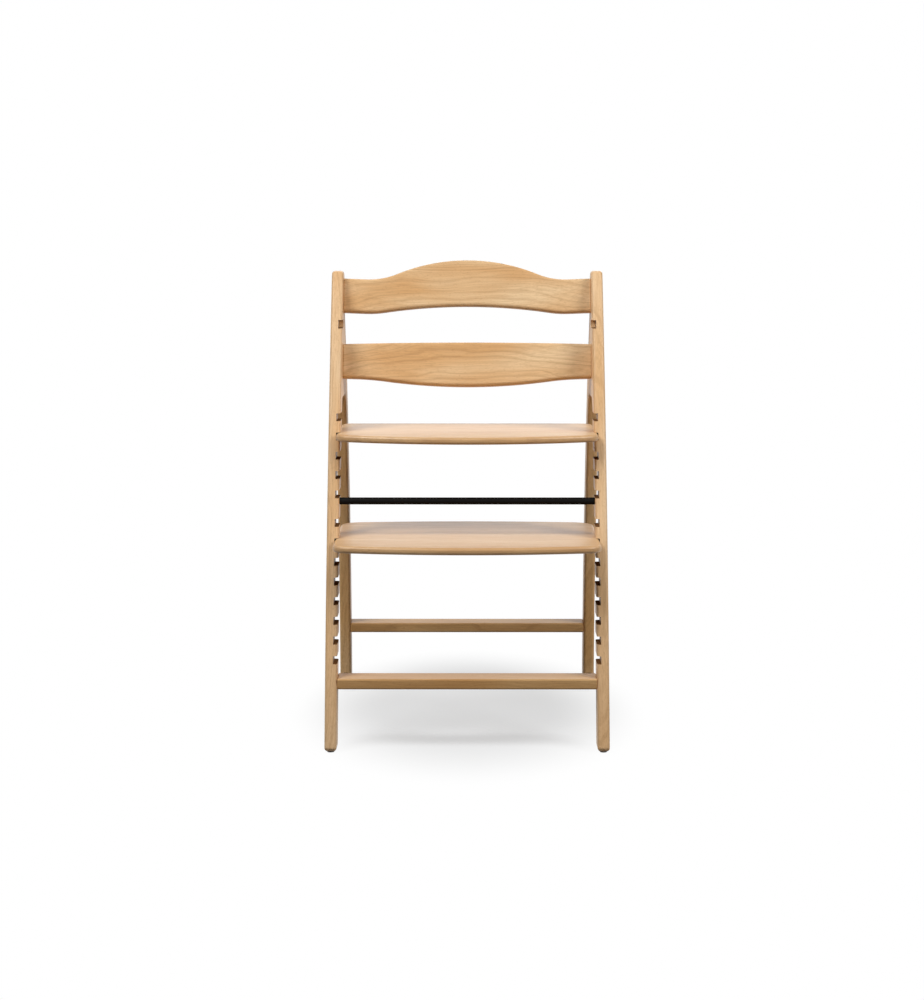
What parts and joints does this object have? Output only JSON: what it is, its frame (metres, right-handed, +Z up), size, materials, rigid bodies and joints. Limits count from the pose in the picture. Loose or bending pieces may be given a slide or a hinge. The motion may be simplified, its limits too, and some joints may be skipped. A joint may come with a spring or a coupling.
{
  "type": "baby high chair",
  "caption": "Wooden step high chair: grooved leaning side frames joined by back rails and stretchers, with a seat plate and a foot plate that slide in the grooves.",
  "frame": {"origin": "on the floor, midway between the two sides and midway between the foremost and rearmost points", "axes": "+X to the right as seen from the front, +Y from the front to the back, +Z up"},
  "size_m": [0.47, 0.5599, 0.8014],
  "materials": {
    "beech_side": "clear-lacquered solid beech, satin",
    "beech_rail": "clear-lacquered solid beech, satin",
    "beech_stretcher": "clear-lacquered solid beech, satin",
    "beech_ply": "clear-lacquered beech plywood, satin",
    "black_steel": "black powder coat, satin",
    "zinc_steel": "bright zinc plating",
    "dowel_wood": "raw fluted beech",
    "glide_plastic": "grey moulded nylon",
    "roller_rubber": "dark grey solid rubber",
    "pin_steel": "plain ground steel"
  },
  "bodies": {
    "frame": {"front_post_left": "beech_side", "front_post_right": "beech_side", "rear_leg_left": "beech_side", "rear_leg_right": "beech_side", "top_back_rail": "beech_rail", "lower_back_rail": "beech_rail", "front_stretcher": "beech_stretcher", "rear_stretcher": "beech_stretcher", "clamp_rod": "black_steel", "frame_bolts": "zinc_steel", "rod_bolts": "zinc_steel", "barrel_nuts": "zinc_steel", "rail_stretcher_dowels": "dowel_wood", "leg_dowels": "dowel_wood", "front_glides": "glide_plastic", "roller_pins": "pin_steel"},
    "seat": {"seat_plate": "beech_ply"},
    "footrest": {"foot_plate": "beech_ply"},
    "left_roller": {"roller_left": "roller_rubber"},
    "right_roller": {"roller_right": "roller_rubber"}
  },
  "joints": [
    {"name": "seat_slide", "type": "slide", "parent": "frame", "child": "seat", "axis": [0, 1, 0], "range_m": [-0.11, 0.035]},
    {"name": "foot_plate_slide", "type": "slide", "parent": "frame", "child": "footrest", "axis": [0, 1, 0], "range_m": [-0.06, 0.1]},
    {"name": "left_roller_spin", "type": "hinge", "parent": "frame", "child": "left_roller", "pos_m": [-0.225, 0.2549, 0.017], "axis": [1, 0, 0], "continuous": true},
    {"name": "right_roller_spin", "type": "hinge", "parent": "frame", "child": "right_roller", "pos_m": [0.225, 0.2549, 0.017], "axis": [1, 0, 0], "continuous": true}
  ]
}
